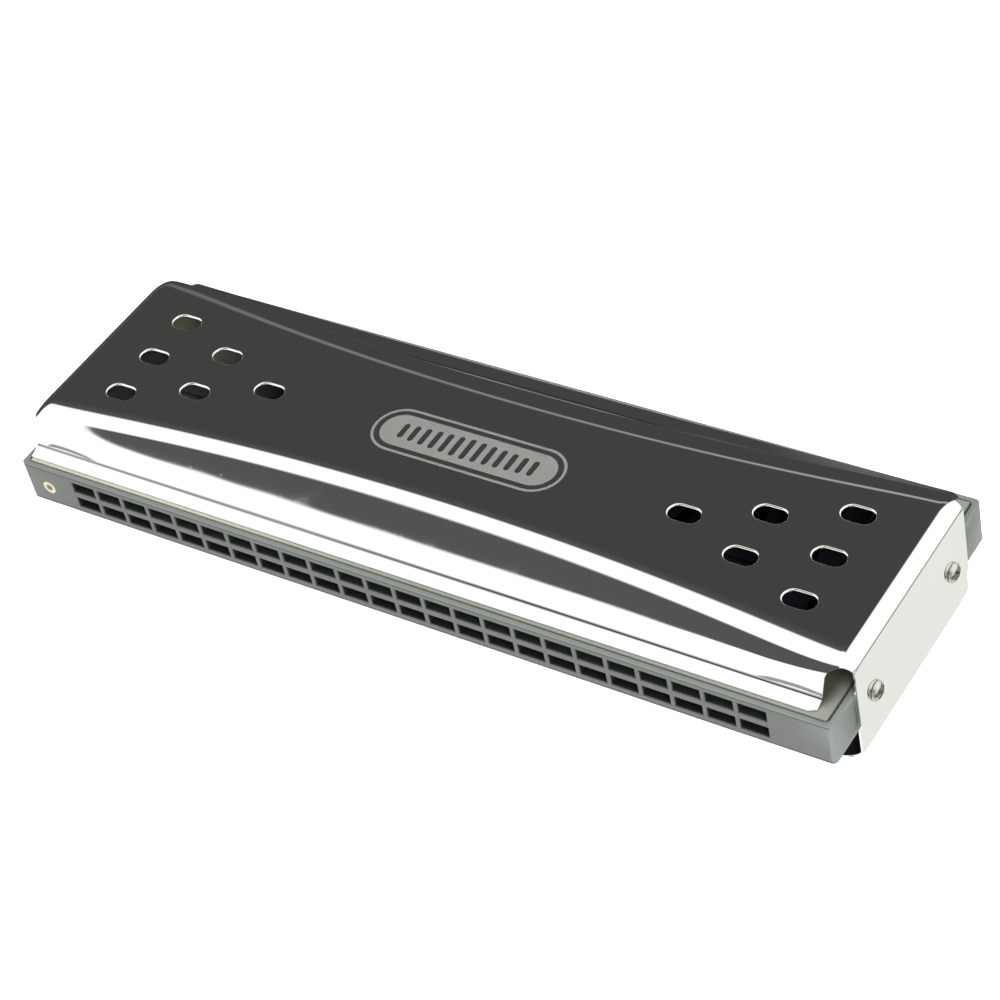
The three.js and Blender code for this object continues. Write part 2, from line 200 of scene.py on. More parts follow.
def mirror_steel():
    material, nodes, shader, place = new_material("mirror_steel")
    cloud = nodes.noise(place, 28, 3)
    smudge = nodes.noise(place, 160, 4, 0.6)
    scratch = nodes.noise(place, 900, 2, 0.5, (1, 0.05, 1))
    rough = nodes.math("MULTIPLY_ADD", cloud, 0.03, 0.012)
    rough = nodes.math("MULTIPLY_ADD", nodes.ramp(smudge, 0.52, 0.75), 0.035, rough)
    rough = nodes.math("MULTIPLY_ADD", nodes.ramp(scratch, 0.66, 0.8), 0.05, rough)
    nodes.link(rough, shader.inputs["Roughness"])
    tone = nodes.mix(cloud, (0.90, 0.90, 0.885, 1), (0.95, 0.95, 0.94, 1))
    # A dark line is painted along the valley and the end bends as shade in these creases.
    x, y, z = nodes.split(place)
    beside = nodes.absolute(nodes.math("SUBTRACT", nodes.absolute(y), VALLEY.x * MM))
    height = nodes.absolute(nodes.math("SUBTRACT", z, MID_Z * MM))
    low = nodes.ramp(height, (VALLEY.y - MID_Z + 0.15) * MM, (VALLEY.y - MID_Z + 0.4) * MM, 1.0, 0.0)
    valley = nodes.math("MULTIPLY", nodes.ramp(beside, 0.16 * MM, 0.42 * MM, 0.9, 0.0), low)
    under = nodes.absolute(nodes.math("SUBTRACT", height, (BEND_Z - MID_Z - 0.15) * MM))
    bend = nodes.ramp(under, 0.05 * MM, 0.2 * MM, 0.7, 0.0)
    at_end = nodes.math("GREATER_THAN", nodes.absolute(x), (BEND_X - 0.4) * MM)
    bend = nodes.math("MULTIPLY", bend, at_end)
    tone = nodes.mix(nodes.math("MAXIMUM", valley, bend), tone, (0.21, 0.22, 0.21, 1))
    nodes.link(tone, shader.inputs["Base Color"])
    shader.inputs["Metallic"].default_value = 1
    wave = nodes.noise(place, 35, 1)
    nodes.link(nodes.bump(wave, 0.05, 0.0004), shader.inputs["Normal"])
    return material


def satin_steel():
    """The inside of the sheet, which was never polished."""
    material, nodes, shader, place = new_material("satin_steel")
    cloud = nodes.noise(place, 120, 3)
    grain = nodes.noise(place, 2200, 2, 0.5, (0.1, 1, 1))
    nodes.link(nodes.mix(cloud, (0.17, 0.175, 0.14, 1), (0.25, 0.255, 0.21, 1)), shader.inputs["Base Color"])
    nodes.link(nodes.ramp(grain, 0.3, 0.7, 0.32, 0.44), shader.inputs["Roughness"])
    shader.inputs["Metallic"].default_value = 0.9
    nodes.link(nodes.bump(grain, 0.1, 0.00003), shader.inputs["Normal"])
    return material


def etched_mark():
    material, nodes, shader, place = new_material("etched_mark")
    grain = nodes.noise(place, 4200, 3, 0.7)
    cloud = nodes.noise(place, 180, 3)
    tone = nodes.mix(cloud, (0.80, 0.81, 0.77, 1), (0.92, 0.93, 0.88, 1))
    nodes.link(tone, shader.inputs["Base Color"])
    nodes.link(nodes.ramp(grain, 0.2, 0.8, 0.42, 0.62), shader.inputs["Roughness"])
    shader.inputs["Metallic"].default_value = 1
    nodes.link(nodes.bump(grain, 0.35, 0.00004), shader.inputs["Normal"])
    return material


def comb_plastic():
    material, nodes, shader, place = new_material("comb_plastic")
    cloud = nodes.noise(place, 45, 4, 0.6)
    grain = nodes.noise(place, 2600, 3, 0.65)
    flow = nodes.noise(place, 300, 3, 0.6, (0.2, 1, 1))
    tone = nodes.mix(cloud, (0.090, 0.099, 0.091, 1), (0.110, 0.119, 0.110, 1))
    edge = nodes.add("ShaderNodeNewGeometry").outputs["Pointiness"]
    wear_and_painted_light = nodes.mix(nodes.ramp(edge, 0.505, 0.56, 0.0, 0.6), tone, (0.26, 0.29, 0.265, 1))
    x, y, z = nodes.split(place)
    # The chambers just behind the mouths are painted near black as the shade inside them.
    depth = nodes.math("SUBTRACT", COMB_HIGH.y * MM, nodes.absolute(y))
    height = nodes.absolute(nodes.math("SUBTRACT", z, MID_Z * MM))
    behind_mouth = nodes.ramp(depth, 0.0001, 0.0005)
    in_chamber = nodes.math("MULTIPLY", behind_mouth, nodes.ramp(height, 0.0037, 0.0039, 1, 0))
    in_row = nodes.math("LESS_THAN", nodes.absolute(x), 0.0806)
    # The rim's top is painted paler as a highlight, and a dark line is painted as shade along the front face
    # just under the rim.
    on_rim = nodes.ramp(height, (COMB_TOP - MID_Z - 0.12) * MM, (COMB_TOP - MID_Z - 0.02) * MM)
    wear_and_painted_light = nodes.mix(nodes.math("MULTIPLY", on_rim, 0.6), wear_and_painted_light, (0.20, 0.22, 0.20, 1))
    painted_shade_line = nodes.band(height, (COMB_TOP - MID_Z - 0.55) * MM, (COMB_TOP - MID_Z - 0.22) * MM, 0.06 * MM)
    painted_shade_line = nodes.math("MULTIPLY", painted_shade_line, nodes.ramp(depth, 0.0, 0.0004, 0.75, 0.0))
    wear_and_painted_light = nodes.mix(painted_shade_line, wear_and_painted_light, (0.030, 0.036, 0.032, 1))
    wear_and_painted_light = nodes.mix(nodes.math("MULTIPLY", in_chamber, in_row), wear_and_painted_light, (0.012, 0.013, 0.012, 1))
    # A gold hot-stamped ring near the bass end of each long side.
    side = nodes.math("SIGN", y)
    along = nodes.math("MULTIPLY_ADD", x, side, -0.08715)
    up = nodes.math("SUBTRACT", z, MID_Z * MM - 0.0005)
    reach = nodes.math("SQRT", nodes.math("ADD", nodes.math("POWER", along, 2), nodes.math("POWER", up, 2)))
    off_ring = nodes.absolute(nodes.math("SUBTRACT", reach, 0.00115))
    on_ring = nodes.ramp(off_ring, 0.00032, 0.00040, 1.0, 0.0)
    on_face = nodes.math("GREATER_THAN", nodes.absolute(y), COMB_HIGH.y * MM - 0.00005)
    foil = nodes.math("MULTIPLY", on_ring, on_face)
    nodes.link(nodes.mix(foil, wear_and_painted_light, (0.80, 0.72, 0.46, 1)), shader.inputs["Base Color"])
    nodes.link(nodes.math("MULTIPLY", foil, 0.85), shader.inputs["Metallic"])
    rough = nodes.ramp(flow, 0.3, 0.7, 0.40, 0.52)
    nodes.link(nodes.math("MULTIPLY_ADD", foil, -0.15, rough), shader.inputs["Roughness"])
    fine = nodes.bump(grain, 0.22, 0.00004)
    nodes.link(nodes.bump(cloud, 0.06, 0.0003, fine), shader.inputs["Normal"])
    return material


def brass(name, dark, light, grain_scale, stretch, rough_low, rough_high, metal):
    material, nodes, shader, place = new_material(name)
    grain = nodes.noise(place, grain_scale, 3, 0.6, stretch)
    cloud = nodes.noise(place, 90, 4, 0.6)
    tone = nodes.mix(cloud, dark, light)
    spots = nodes.ramp(nodes.noise(place, 420, 3, 0.6), 0.58, 0.8, 0.0, 0.3)
    tarnish = nodes.mix(spots, tone, (0.30, 0.22, 0.11, 1))
    # Under the covers the colour is painted dark as the shade there: near black over most of the length, grey
    # at the +X end, and olive at the front to cream at the back towards the -X end.
    x, y, z = nodes.split(place)
    covered = nodes.ramp(nodes.absolute(y), 0.0240, 0.0275, 1.0, 0.0)
    between_flaps = nodes.ramp(nodes.absolute(x), 0.0885, 0.0910, 1.0, 0.0)
    covered = nodes.math("MULTIPLY", covered, between_flaps)
    bass = nodes.mix(nodes.ramp(y, 0.007, 0.016), (0.17, 0.19, 0.16, 1), (0.62, 0.58, 0.42, 1))
    painted_cover_shade = nodes.mix(nodes.ramp(x, -0.070, -0.040), bass, (0.030, 0.034, 0.042, 1))
    painted_cover_shade = nodes.mix(nodes.ramp(x, 0.082, 0.085), painted_cover_shade, (0.13, 0.135, 0.10, 1))
    # The strip left outside the covers turns greyer towards the +X end.
    greyed = nodes.ramp(x, -0.060, 0.010, 0.0, 0.8)
    outside = nodes.mix(greyed, tarnish, (0.24, 0.27, 0.235, 1))
    nodes.link(nodes.mix(covered, outside, painted_cover_shade), shader.inputs["Base Color"])
    nodes.link(nodes.ramp(grain, 0.3, 0.7, rough_low, rough_high), shader.inputs["Roughness"])
    shader.inputs["Metallic"].default_value = metal
    nodes.link(nodes.bump(grain, 0.2, 0.00003), shader.inputs["Normal"])
    return material


def screw_steel():
    material, nodes, shader, place = new_material("screw_steel")
    turned = nodes.noise(place, 1500, 3, 0.6)
    cloud = nodes.noise(place, 500, 2)
    nodes.link(nodes.mix(cloud, (0.60, 0.60, 0.55, 1), (0.80, 0.79, 0.74, 1)), shader.inputs["Base Color"])
    nodes.link(nodes.ramp(turned, 0.3, 0.7, 0.26, 0.38), shader.inputs["Roughness"])
    shader.inputs["Metallic"].default_value = 1
    nodes.link(nodes.bump(turned, 0.12, 0.00003), shader.inputs["Normal"])
    return material


def recess_steel():
    """The walls and bottom of a screw's recess, painted dark olive as the shade inside it."""
    material, nodes, shader, place = new_material("recess_steel")
    cloud = nodes.noise(place, 900, 3)
    nodes.link(nodes.mix(cloud, (0.10, 0.10, 0.05, 1), (0.24, 0.23, 0.13, 1)), shader.inputs["Base Color"])
    shader.inputs["Roughness"].default_value = 0.4
    shader.inputs["Metallic"].default_value = 0.7
    nodes.link(nodes.bump(cloud, 0.2, 0.00004), shader.inputs["Normal"])
    return material


MIRROR = mirror_steel()
SATIN = satin_steel()
ETCH = etched_mark()
PLASTIC = comb_plastic()
PLATE_BRASS = brass(
    "plate_brass", dark=(0.46, 0.46, 0.38, 1), light=(0.66, 0.66, 0.56, 1),
    grain_scale=1400, stretch=(0.3, 1, 1), rough_low=0.34, rough_high=0.46, metal=0.3,
)
REED_BRASS = brass(
    "reed_bronze", dark=(0.62, 0.50, 0.27, 1), light=(0.78, 0.66, 0.40, 1),
    grain_scale=1800, stretch=(1, 0.1, 1), rough_low=0.20, rough_high=0.38, metal=1.0,
)
STEEL = screw_steel()
RECESS = recess_steel()


# Mesh helpers

def object_from(name, bm, materials, smooth_angle=None):
    mesh = bpy.data.meshes.new(name)
    bm.to_mesh(mesh)
    bm.free()
    for material in materials:
        mesh.materials.append(material)
    piece = bpy.data.objects.new(name, mesh)
    bpy.context.scene.collection.objects.link(piece)
    if smooth_angle is not None:
        mesh.shade_smooth()
        mesh.set_sharp_from_angle(angle=math.radians(smooth_angle))
    return piece


def bake(piece):
    """Applies a piece's modifiers to its mesh."""
    graph = bpy.context.evaluated_depsgraph_get()
    mesh = bpy.data.meshes.new_from_object(piece.evaluated_get(graph))
    piece.modifiers.clear()
    piece.data = mesh
    return piece


def finish_piece(piece, body, nodes):
    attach(piece, body)
    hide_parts(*nodes)
    return piece


# The cover sheet

SHOULDER_STEPS = 12
SLOPE_STEPS = 10
LOWER_STEPS = 8
WALL_STEPS = 5
FOOT_INDEX = SHOULDER_STEPS + SLOPE_STEPS + LOWER_STEPS + WALL_STEPS - 1
LENGTH_STEPS = 118
ROLL_STEPS = 12
BEND_STEPS = 5
FLAP_STEPS = 12
# Places along the stretch of the end roll that still has its slope and flange.
LONG_SLOPE_XS = [FLAT_END, 89.6, 89.8, ROLL_START, 90.7, 91.1, 91.4, 91.6, 91.7]


def bezier(points, t):
    s = 1 - t
    return points[0] * s * s + points[1] * 2 * s * t + points[2] * t * t


def downhill(angle):
    """The way a section runs where its face leans outward by an angle."""
    return Vector((math.cos(angle), -math.sin(angle)))


def turn(points, start, stop, radius, count):
    """Carries a section on round an arc from one lean to another."""
    centre = points[-1] - radius * Vector((math.sin(start), math.cos(start)))
    for i in range(1, count + 1):
        angle = start + (stop - start) * i / count
        points.append(centre + radius * Vector((math.sin(angle), math.cos(angle))))


def lean_to(start, radius, target):
    """The lean at which an arc from start points straight at the target."""
    low, high = SIDE_TURN, STEEPEST
    for _ in range(40):
        middle = (low + high) / 2
        points = [start]
        turn(points, SIDE_TURN, middle, radius, 1)
        ahead = target - points[-1]
        way = downhill(middle)
        if way.x * ahead.y - way.y * ahead.x < 0:
            low = middle
        else:
            high = middle
    return low


def section(x, side=-1):
    """The sheet's outer face from the panel's edge to the flange's edge: distance from the middle, height.

    Every section has the same number of points. The shoulder is long and gentle; the side below it is
    almost straight in the middle of the cover and turns down steeply towards the ends.
    """
    share = (x / BEND_X) ** 2
    points = [Vector((PANEL_HALF + PANEL_FLARE * share, HEIGHT))]
    shoulder_radius = SHOULDER_RADIUS + SHOULDER_FLARE * share - SHOULDER_TAPER * share**8
    turn(points, 0, SHOULDER_TURN, shoulder_radius, SHOULDER_STEPS)
    turn(points, SHOULDER_TURN, SIDE_TURN, SLOPE_RADIUS - SLOPE_TAPER * share, SLOPE_STEPS)
    lower_radius = VALLEY.x - points[-1].x
    lean = lean_to(points[-1], lower_radius, VALLEY)
    turn(points, SIDE_TURN, lean, lower_radius, LOWER_STEPS)
    edge = Vector((FLANGE_REACH[side] + FLANGE_FLARE[side] * share, PLATE_TOP + COVER_GAP + SHEET))
    flange_lean = math.atan2(VALLEY.y - edge.y, edge.x - VALLEY.x)
    tangent = VALLEY_RADIUS * math.tan((lean - flange_lean) / 2)
    last = points[-1]
    foot = VALLEY - tangent * downhill(lean)
    points += [last + (foot - last) * i / WALL_STEPS for i in range(1, WALL_STEPS + 1)]
    centre = foot + VALLEY_RADIUS * Vector((math.sin(lean), math.cos(lean)))
    for i in range(1, 9):
        angle = lean + (flange_lean - lean) * i / 8
        points.append(centre - VALLEY_RADIUS * Vector((math.sin(angle), math.cos(angle))))
    edge.x -= flange_cut(x)
    last = points[-1]
    points += [last + (edge - last) * i / 4 for i in range(1, 5)]
    return points


def flange_cut(x):
    """How much the rounded corner takes off the flange."""
    past = abs(x) - (SLOPE_END[1 if x > 0 else -1] - FLANGE_CORNER)
    if past <= 0:
        return 0.0
    return FLANGE_CORNER - math.sqrt(max(0.0, FLANGE_CORNER**2 - past**2))


def relief_width(x):
    """How far from the middle the sheet reaches past the end of its slope."""
    end = SLOPE_END[1 if x > 0 else -1]
    start = section(end)[FOOT_INDEX].x
    curve = [Vector((end, start)), Vector((end + 0.4, 22.6)), Vector((BEND_X, FLAP_HALF_WIDTH))]
    low, high = 0.0, 1.0
    for _ in range(40):
        middle = (low + high) / 2
        if bezier(curve, middle).x < abs(x):
            low = middle
        else:
            high = middle
    return bezier(curve, low).y


def roll_drop(x):
    past = max(0.0, abs(x) - ROLL_START)
    return ROLL_RADIUS - math.sqrt(ROLL_RADIUS**2 - past**2)


def lowered(x, point):
    """A cross-section point with the end roll's drop, which spares the flange."""
    rise = max(0.0, (point.y - VALLEY.y) / (HEIGHT - VALLEY.y))
    return Vector((x, point.x, point.y - roll_drop(x) * rise))


def half_row(x, cut, side):
    """Points from the middle of the panel out to the sheet's edge; cut leaves out the flange."""
    points = section(x, side)
    if cut:
        width = relief_width(x)
        kept = [point for point in points if point.x < width - 1e-6]
        a, b = points[len(kept) - 1], points[len(kept)]
        rim = a.lerp(b, (width - a.x) / (b.x - a.x))
        points = kept + [rim] * (FOOT_INDEX + 1 - len(kept))
    edge = points[0].x
    row = [Vector((y, HEIGHT)) for y in (0, 0.5 * edge, edge - PANEL_TRIM)]
    return [lowered(x, point) for point in row + points]


def steps(start, stop, count):
    return [start + (stop - start) * i / count for i in range(count + 1)]


def add_grid(bm, rows):
    made = [[bm.verts.new(point) for point in row] for row in rows]
    for a, b in zip(made, made[1:]):
        for i in range(len(a) - 1):
            corners = [a[i], b[i], b[i + 1], a[i + 1]]
            bm.faces.new(corners)


def mirrored(point):
    return Vector((point.x, -point.y, point.z))


def full_row(x, cut):
    front = [mirrored(point) for point in half_row(x, cut, -1)]
    return front[:0:-1] + half_row(x, cut, 1)


def obround(cx, cy, length, width, segments=14):
    """A loop of points round a slot with half-round ends."""
    radius = width / 2
    reach = length / 2 - radius
    loop = []
    for end in (1, -1):
        for i in range(segments + 1):
            angle = -math.pi / 2 + math.pi * i / segments
            dx = end * (reach + radius * math.cos(angle))
            loop.append(Vector((cx + dx, cy + end * radius * math.sin(angle))))
    return loop


def inside(point, loop):
    found = False
    for i, a in enumerate(loop):
        b = loop[i - 1]
        if (a.y > point.y) != (b.y > point.y):
            if point.x < (b.x - a.x) * (point.y - a.y) / (b.y - a.y) + a.x:
                found = not found
    return found


def emblem_shapes():
    """A plain ornament for the middle of the panel: a capsule with reed-like bars left out of it, and a ring.

    Each entry is (outer loop, holes).
    """
    bars = 13
    holes = []
    for i in range(bars):
        place = i - (bars - 1) / 2
        holes.append(bar_loop(2.5 * place, 2.9 - 0.14 * abs(place), 0.62))
    shapes = [(obround(0, 0, 40, 8.6), holes)]
    shapes.append((obround(0, 0, 43.6, 12.0), [obround(0, 0, 42.4, 10.8)]))
    return shapes


def bar_loop(x, half, width):
    """A slim upright bar with round ends."""
    loop = []
    for end in (1, -1):
        for i in range(7):
            angle = math.pi * i / 6
            y = end * (half - width + width * math.sin(angle))
            loop.append(Vector((x + end * width * math.cos(angle), y)))
    return loop


def add_panel(bm, xs, with_emblem):
    """The flat middle of the sheet, with its vents left open and the emblem in its own material."""
    outline = [Vector((x, -(section(x)[0].x - PANEL_TRIM))) for x in xs]
    edge = section(xs[-1])[0].x
    ys = [-(edge - PANEL_TRIM), -0.5 * edge, 0, 0.5 * edge, edge - PANEL_TRIM]
    outline += [Vector((xs[-1], y)) for y in ys[1:-1]]
    outline += [Vector((x, section(x)[0].x - PANEL_TRIM)) for x in reversed(xs)]
    outline += [Vector((xs[0], y)) for y in reversed(ys[1:-1])]
    vents = [obround(end * x, y, VENT_LENGTH, VENT_WIDTH) for end in (-1, 1) for x, y in VENT_PLACES]
    shapes = emblem_shapes() if with_emblem else []
    loops = [outline] + vents + [loop for outer, holes in shapes for loop in [outer] + holes]
    points, edges = [], []
    for loop in loops:
        first = len(points)
        points += loop
        edges += [(first + i, first + (i + 1) % len(loop)) for i in range(len(loop))]
    made = delaunay_2d_cdt(points, edges, [], 0, 1e-6)
    verts = [bm.verts.new((p.x, p.y, HEIGHT)) for p in made[0]]
    for corners in made[2]:
        middle = sum((made[0][i] for i in corners), Vector((0, 0))) / len(corners)
        if not inside(middle, outline) or any(inside(middle, vent) for vent in vents):
            continue
        face = bm.faces.new([verts[i] for i in corners])
        for outer, holes in shapes:
            if inside(middle, outer) and not any(inside(middle, hole) for hole in holes):
                face.material_index = 1
    for vent_x, vent_y in [(end * x, y) for end in (-1, 1) for x, y in VENT_PLACES]:
        rows = []
        for i in range(7):
            angle = math.radians(LIP_TURN * i / 6)
            shrink = 2 * LIP * math.sin(angle)
            loop = obround(vent_x, vent_y, VENT_LENGTH - shrink, VENT_WIDTH - shrink)
            z = HEIGHT - LIP * (1 - math.cos(angle))
            rows.append([Vector((p.x, p.y, z)) for p in loop])
        add_grid(bm, [row + row[:1] for row in rows])


def cover_mesh(name, nest, with_emblem):
    bm = bmesh.new()
    xs = steps(-FLAT_END, FLAT_END, LENGTH_STEPS)
    add_panel(bm, xs, with_emblem)
    add_grid(bm, [half_row(x, False, 1)[2:] for x in xs])
    add_grid(bm, [[mirrored(point) for point in half_row(x, False, -1)[2:]] for x in xs])
    stop = ROLL_START + ROLL_RADIUS * math.sin(ROLL_STOP)
    turns = [ROLL_STOP * i / ROLL_STEPS for i in range(1, ROLL_STEPS + 1)]
    roll = [ROLL_START + ROLL_RADIUS * math.sin(angle) for angle in turns]
    for end in (-1, 1):
        slope_end = SLOPE_END[end]
        if slope_end > FLAT_END:
            add_grid(bm, [full_row(end * x, False) for x in LONG_SLOPE_XS + [slope_end]])
            cut = [slope_end] + [x for x in roll if x > slope_end + 0.05]
        else:
            cut = steps(slope_end, ROLL_START, 6) + roll
        rows = [full_row(end * x, True) for x in cut]
        # The sharp bend into the flap.
        radius = (BEND_X - stop) / (1 - math.sin(ROLL_STOP))
        for i in range(1, BEND_STEPS + 1):
            angle = ROLL_STOP + (math.pi / 2 - ROLL_STOP) * i / BEND_STEPS
            x = stop + radius * (math.sin(angle) - math.sin(ROLL_STOP))
            drop = radius * (math.cos(ROLL_STOP) - math.cos(angle))
            rows.append([Vector((end * x, p.y, p.z - drop)) for p in rows[-1 if i == 1 else -i]])
        top = rows[-1]
        flap = [top]
        for i in range(1, FLAP_STEPS + 1):
            line = []
            for p in top:
                past = max(0.0, abs(p.y) - (FLAP_HALF_WIDTH - FLAP_CORNER))
                low = FLAP_LOW + FLAP_CORNER - math.sqrt(max(0.0, FLAP_CORNER**2 - past**2))
                line.append(Vector((p.x, p.y, p.z + (low - p.z) * i / FLAP_STEPS)))
            flap.append(line)
        add_grid(bm, rows)
        add_grid(bm, flap)
    for vert in bm.verts:
        past = (abs(vert.co.x) - ROLL_START) / (BEND_X - ROLL_START)
        vert.co.x -= math.copysign(nest * min(1.0, max(0.0, past)), vert.co.x)
        vert.co *= MM
    bmesh.ops.remove_doubles(bm, verts=bm.verts, dist=0.002 * MM)
    bmesh.ops.recalc_face_normals(bm, faces=bm.faces)
    upward = sum(face.normal.z * face.calc_area() for face in bm.faces)
    if upward < 0:
        bmesh.ops.reverse_faces(bm, faces=bm.faces)
    piece = object_from(name, bm, [MIRROR, ETCH, SATIN])
    solid = piece.modifiers.new("sheet", "SOLIDIFY")
    solid.thickness = SHEET * MM
    solid.offset = -1
    solid.use_even_offset = True
    solid.material_offset = 2
    bake(piece)
    piece.data.shade_smooth()
    piece.data.set_sharp_from_angle(angle=math.radians(34))
    return piece


top_cover = cover_mesh("top_cover_sheet", 0.0, True)
finish_piece(top_cover, BODY, ["top_cover"])
bottom_cover = cover_mesh("bottom_cover_sheet", NEST, True)
bottom_cover.data.transform(Matrix.Translation((0, 0, HEIGHT * MM)) @ Matrix.Rotation(math.pi, 4, "X"))
finish_piece(bottom_cover, BODY, ["bottom_cover"])


# The comb

def comb_piece():
    bm = bmesh.new()
    bm.from_mesh(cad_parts["comb"].data)
    bmesh.ops.remove_doubles(bm, verts=bm.verts, dist=0.001 * MM)
    bmesh.ops.dissolve_limit(bm, angle_limit=math.radians(1), verts=bm.verts, edges=bm.edges)
    weight = bm.edges.layers.float.new("bevel_weight_edge")
    face_y = COMB_HIGH.y * MM
    rim_z = COMB_TOP * MM
    near = 0.01 * MM
    for edge in bm.edges:
        a, b = (vert.co for vert in edge.verts)
        if len(edge.link_faces) != 2 or edge.calc_face_angle(0) < math.radians(50):
            continue
        on_face = abs(abs(a.y) - face_y) < near and abs(abs(b.y) - face_y) < near
        on_top = all(abs(abs(p.z - MID_Z * MM) - (rim_z - MID_Z * MM)) < near for p in (a, b))
        if on_face or on_top:
            edge[weight] = 1.0 if on_top else 0.8
    piece = object_from("comb_body", bm, [PLASTIC])
    bevel = piece.modifiers.new("edges", "BEVEL")
    bevel.limit_method = "WEIGHT"
    bevel.width = 0.28 * MM
    bevel.segments = 3
    bake(piece)
    piece.data.shade_smooth()
    piece.data.set_sharp_from_angle(angle=math.radians(35))
    return piece


finish_piece(comb_piece(), BODY, ["comb"])


# Reed plates keep their CAD shape, with a small broken edge.
for node_name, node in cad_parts.items():
    if node_name.startswith("reed_plate"):
        node.data.materials.clear()
        node.data.materials.append(PLATE_BRASS)
        edge = node.modifiers.new("edges", "BEVEL")
        edge.width = 0.05 * MM
        edge.segments = 2
        edge.limit_method = "ANGLE"
        edge.angle_limit = math.radians(50)


# Reeds: each bank is twelve riveted tongues.

COLUMNS = 24
PITCH = 6.7
PAD_HALF = 1.55
PAD_CORNER = 0.4
NECK = 0.7
RIVET_HEIGHT = 0.32
REEDS = {
    "draw": {
        "outside": True, "first": 1, "root": 4.9, "toward": 1, "bass": 18.0, "treble": 9.0,
        "pad_back": 1.45, "rivet_back": 0.6, "rivet_radius": 0.75,
    },
    "blow": {
        "outside": False, "first": 0, "root": 28.45, "toward": -1, "bass": 20.0, "treble": 10.5,
        "pad_back": 0.7, "rivet_back": 0.0, "rivet_radius": 0.55,
    },
}


def add_dome(bm, centre, radius, height, outward, segments=16):
    """A rivet head or screw dome on a face that looks along outward, which is +1 or -1 in Z."""
    rings = []
    for i in range(5):
        angle = math.pi / 2 * i / 5
        ring_radius = radius * math.cos(angle)
        z = centre.z + outward * height * math.sin(angle)
        angles = [2 * math.pi * k / segments for k in range(segments)]
        around = [(ring_radius * math.cos(a), ring_radius * math.sin(a)) for a in angles]
        rings.append([bm.verts.new((centre.x + dx, centre.y + dy, z)) for dx, dy in around])
    tip = bm.verts.new((centre.x, centre.y, centre.z + outward * height))
    for low, high in zip(rings, rings[1:]):
        for k in range(segments):
            bm.faces.new([low[k], low[k - 1], high[k - 1], high[k]])
    for k in range(segments):
        bm.faces.new([rings[-1][k], rings[-1][k - 1], tip])
    bm.faces.new(rings[0])


def add_prism(bm, loop, z_near, z_far):
    low = [bm.verts.new((p.x, p.y, z_near)) for p in loop]
    high = [bm.verts.new((p.x, p.y, z_far)) for p in loop]
    bm.faces.new(low)
    bm.faces.new(list(reversed(high)))
    for i in range(len(loop)):
        bm.faces.new([low[i - 1], low[i], high[i], high[i - 1]])


def reed_bank(node, side, level, kind):
    low, high = cad_box_mm(node)
    z_near, z_far = (low.z, high.z) if (level > 0) == kind["outside"] else (high.z, low.z)
    root, toward, pad_back = kind["root"], kind["toward"], kind["pad_back"]
    outward = 1 if z_far > z_near else -1
    bm = bmesh.new()
    for column in range(kind["first"], COLUMNS, 2):
        x = -side * PITCH * (column - (COLUMNS - 1) / 2)
        reach = kind["bass"] + (kind["treble"] - kind["bass"]) * column / (COLUMNS - 1)
        # One half of a tongue, from the back of its pad to its tip.
        half = [
            (PAD_HALF - PAD_CORNER, -pad_back), (PAD_HALF, -pad_back + PAD_CORNER), (PAD_HALF, NECK - 0.3),
            (1.1, NECK + 0.3), (1.02, reach * 0.55), (0.98, reach - 0.15), (0.85, reach),
        ]
        other = [(-dx, dy) for dx, dy in reversed(half)]
        outline = other[-2:] + half + other[:-2]
        loop = [Vector((x + dx, side * (root + toward * dy))) for dx, dy in outline]
        add_prism(bm, loop, z_near, z_far)
        rivet = Vector((x, side * (root - toward * kind["rivet_back"]), z_far))
        add_dome(bm, rivet, kind["rivet_radius"], RIVET_HEIGHT, outward)
    for vert in bm.verts:
        vert.co *= MM
    bmesh.ops.recalc_face_normals(bm, faces=bm.faces)
    piece = object_from(node + "_tongues", bm, [REED_BRASS], 30)
    return finish_piece(piece, node, [node])


SIDES = {"front": -1, "back": 1}
LEVELS = {"top": 1, "bottom": -1}
for level_name, level in LEVELS.items():
    for side_name, side in SIDES.items():
        where = f"{level_name}_{side_name}"
        for kind_name, kind in REEDS.items():
            reed_bank(f"{kind_name}_reeds_{where}", side, level, kind)


# Screws

def lathe(bm, profile, segments):
    rings = []
    for radius, z in profile:
        if radius < 1e-6:
            rings.append([bm.verts.new((0, 0, z))])
            continue
        angles = [2 * math.pi * k / segments for k in range(segments)]
        rings.append([bm.verts.new((radius * math.cos(a), radius * math.sin(a), z)) for a in angles])
    for a, b in zip(rings, rings[1:]):
        for k in range(segments):
            if len(a) == 1:
                bm.faces.new([a[0], b[k - 1], b[k]])
            elif len(b) == 1:
                bm.faces.new([a[k], a[k - 1], b[0]])
            else:
                bm.faces.new([a[k], a[k - 1], b[k - 1], b[k]])


